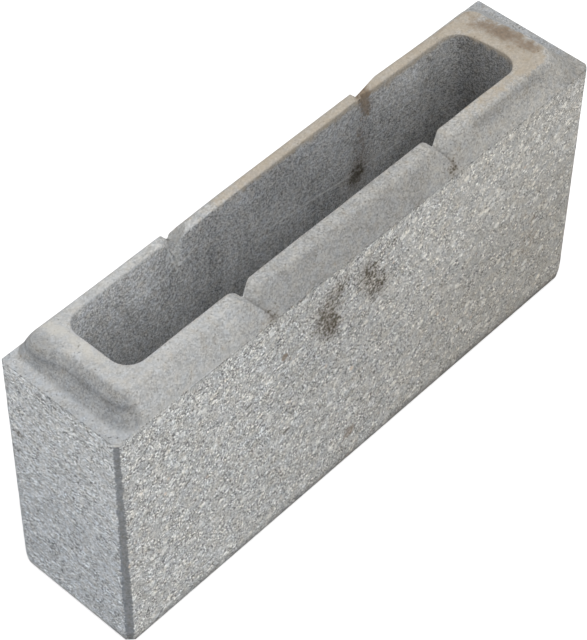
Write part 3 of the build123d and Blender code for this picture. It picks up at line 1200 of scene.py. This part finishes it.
def concrete_material(colours):
    """The block's one finish: blasted faces, smooth rim, dark corner flats, rubbed cavity and stains."""
    material = bpy.data.materials.new(SLOT)
    material.use_nodes = True
    nodes = Nodes(material.node_tree)
    coordinates = nodes.node("ShaderNodeTexCoord")
    place = nodes.scaled(coordinates.outputs["Object"], (1000.0, 1000.0, 1000.0))
    ragged = nodes.cloud(place, RAGGED_CLOUD, 3.0, 0.6)
    blasted = nodes.rise(nodes.mask("blast") + 0.45 * (ragged - 0.5), 0.475, 0.525)
    hollow = nodes.mask("hollow")
    face, face_height, grain = blasted_face(nodes, place, colours)
    skin, skin_height = pressed_skin(nodes, place, colours)
    wall, wall_height = cavity_wall(nodes, place, colours)
    under_lip = nodes.rise(nodes.axis(place, 2) + 2.0 * (ragged - 0.5), *FLAT_TOP)
    skin = nodes.mix(under_lip, skin, corner_flat(nodes, place, colours))
    scar = nodes.rise(nodes.mask("scar") + 0.7 * (ragged - 0.5), 0.1, 0.7)
    wall = nodes.mix(scar * 0.8, wall, nodes.lit(colours.scar, 0.7 + 0.6 * grain))
    shade = nodes.mix(blasted, nodes.mix(hollow, skin, wall), face)
    height = skin_height + (wall_height - skin_height) * hollow
    height = height + (face_height - height) * blasted
    hue = nodes.mask("warm") + 1.6 * (nodes.cloud(place, HUE_CLOUD, 3.0, 0.6) - 0.5)
    shade = nodes.scaled(shade, nodes.mix(0.2 + 0.6 * hue, BLUISH, WARM))
    shade = nodes.lit(shade, nodes.mask("tone"))
    shade = stained(nodes, place, shade, hollow, colours)
    bump = nodes.node("ShaderNodeBump", None, {"Strength": 0.9, "Distance": MM, "Height": height})
    shader = nodes.node("ShaderNodeBsdfPrincipled", None, {
        "Base Color": shade,
        "Roughness": 0.92,
        "Specular IOR Level": 0.25,
        "Normal": bump.outputs[0],
    })
    nodes.node("ShaderNodeOutputMaterial", None, {"Surface": shader.outputs[0]})
    return material


class WALLBLOCK_OT_cast_block(bpy.types.Operator):
    """Builds the block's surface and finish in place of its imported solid."""

    bl_idname = "wallblock.cast_block"
    bl_label = "Cast the block"

    def execute(self, context):
        points, masks = block_surface(context.scene.wall_block_sizes)
        mesh = grid_mesh("wall_block_cast", points, masks)
        mesh.materials.append(concrete_material(context.scene.wall_block_finish))
        block = bpy.data.objects.new("wall_block_cast", mesh)
        context.scene.collection.objects.link(block)
        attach(block, BODY)
        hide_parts(NODE)
        return {"FINISHED"}


def seen_directly(nodes):
    """One for rays that the camera sees straight, in a gloss or through glass, and nought for light."""
    path = nodes.node("ShaderNodeLightPath")
    seen = nodes.larger(nodes.value(path, "Is Camera Ray"), nodes.value(path, "Is Glossy Ray"))
    return nodes.larger(seen, nodes.value(path, "Is Transmission Ray"))


def studio_world(stage):
    """Even white surroundings that light the block less than they show."""
    world = bpy.data.worlds.new("studio")
    world.use_nodes = True
    nodes = Nodes(world.node_tree)
    light = nodes.node("ShaderNodeBackground", None, {"Color": WHITE, "Strength": stage.sky})
    shown = nodes.node("ShaderNodeBackground", None, {"Color": WHITE, "Strength": 1.0})
    sockets = {0: seen_directly(nodes), 1: light.outputs[0], 2: shown.outputs[0]}
    both = nodes.node("ShaderNodeMixShader", None, sockets)
    nodes.node("ShaderNodeOutputWorld", None, {"Surface": both.outputs[0]})
    return world


def studio_floor(stage):
    """A wide pale floor: a flat square just under the bed, shown white but for the block's shadow."""
    signs = ((-1, -1), (1, -1), (1, 1), (-1, 1))
    corners = [(x * FLOOR_REACH, y * FLOOR_REACH, -FLOOR_GAP) for x, y in signs]
    mesh = bpy.data.meshes.new("studio_floor")
    mesh.from_pydata(corners, [], [(0, 1, 2, 3)])
    material = bpy.data.materials.new("pale_floor")
    material.use_nodes = True
    nodes = Nodes(material.node_tree)
    lit = nodes.node("ShaderNodeBsdfDiffuse", None, {"Color": (*stage.floor, 1.0)})
    glow = nodes.node("ShaderNodeEmission", None, {"Color": WHITE, "Strength": FLOOR_GLOW})
    white = nodes.node("ShaderNodeAddShader", None, {0: lit.outputs[0], 1: glow.outputs[0]})
    grey = (FLOOR_GREY, FLOOR_GREY, FLOOR_GREY, 1.0)
    dim = nodes.node("ShaderNodeBsdfDiffuse", None, {"Color": grey})
    sockets = {0: seen_directly(nodes), 1: dim.outputs[0], 2: white.outputs[0]}
    both = nodes.node("ShaderNodeMixShader", None, sockets)
    nodes.node("ShaderNodeOutputMaterial", None, {"Surface": both.outputs[0]})
    mesh.materials.append(material)
    return bpy.data.objects.new("studio_floor", mesh)


def studio_camera(stage):
    """Camera turned by its azimuth, elevation and roll, looking at the aim from its distance."""
    azimuth, elevation, roll = stage.azimuth, stage.elevation, stage.roll
    level = math.cos(elevation)
    back = Vector((math.sin(azimuth) * level, -math.cos(azimuth) * level, math.sin(elevation)))
    right = Vector((math.cos(azimuth), math.sin(azimuth), 0.0))
    up = back.cross(right)
    tilted_right = right * math.cos(roll) + up * math.sin(roll)
    tilted_up = up * math.cos(roll) - right * math.sin(roll)
    data = bpy.data.cameras.new("studio_camera")
    data.lens = stage.lens
    data.sensor_width = SENSOR_WIDTH
    camera = bpy.data.objects.new("studio_camera", data)
    turn = Matrix((tilted_right, tilted_up, back)).transposed()
    camera.matrix_world = Matrix.Translation(Vector(stage.aim) + back * stage.distance) @ turn.to_4x4()
    return camera


def soft_light(name, place, width, power):
    """A square lamp that looks at the middle of the block."""
    data = bpy.data.lights.new(name, "AREA")
    data.energy = power
    data.size = width
    lamp = bpy.data.objects.new(name, data)
    lamp.location = place
    aim = (LOW + HIGH) / 2
    lamp.rotation_euler = (aim - Vector(place)).to_track_quat("-Z", "Y").to_euler()
    return lamp


class WALLBLOCK_OT_set_stage(bpy.types.Operator):
    """Sets up the floor, the light and the camera."""

    bl_idname = "wallblock.set_stage"
    bl_label = "Set the stage"

    def execute(self, context):
        scene = context.scene
        stage = scene.wall_block_stage
        floor = studio_floor(stage)
        camera = studio_camera(stage)
        key = soft_light("key_light", KEY_PLACE, KEY_WIDTH, stage.key)
        for thing in (floor, camera, key):
            scene.collection.objects.link(thing)
        scene.camera = camera
        scene.world = studio_world(stage)
        scene.view_settings.view_transform = "Standard"
        return {"FINISHED"}


class WALLBLOCK_PT_panel(bpy.types.Panel):
    """Sizes, colours and steps of the wall block."""

    bl_idname = "WALLBLOCK_PT_panel"
    bl_label = "Wall block"
    bl_space_type = "VIEW_3D"
    bl_region_type = "UI"
    bl_category = "Wall block"

    def draw(self, context):
        layout = self.layout
        for name in GROUPS:
            box = layout.box()
            group = getattr(context.scene, name)
            for key in group.bl_rna.properties.keys():
                if key not in ("rna_type", "name"):
                    box.prop(group, key)
        for operator in OPERATORS:
            layout.operator(operator.bl_idname)


GROUPS = {
    "wall_block_sizes": BlockSizes,
    "wall_block_finish": ConcreteFinish,
    "wall_block_stage": StudioStage,
}
OPERATORS = (WALLBLOCK_OT_cast_block, WALLBLOCK_OT_set_stage)
CLASSES = (*GROUPS.values(), *OPERATORS, WALLBLOCK_PT_panel)


def register():
    """Registers the classes and hangs their settings on the scene."""
    for cls in CLASSES:
        bpy.utils.register_class(cls)
    for name, group in GROUPS.items():
        setattr(bpy.types.Scene, name, bpy.props.PointerProperty(type=group))


def unregister():
    """Takes the settings off the scene and the classes off Blender."""
    for name in GROUPS:
        delattr(bpy.types.Scene, name)
    for cls in reversed(CLASSES):
        bpy.utils.unregister_class(cls)


def main():
    register()
    bpy.ops.wallblock.cast_block()
    bpy.ops.wallblock.set_stage()
    bpy.context.view_layer.update()


if __name__ == "__main__":
    main()
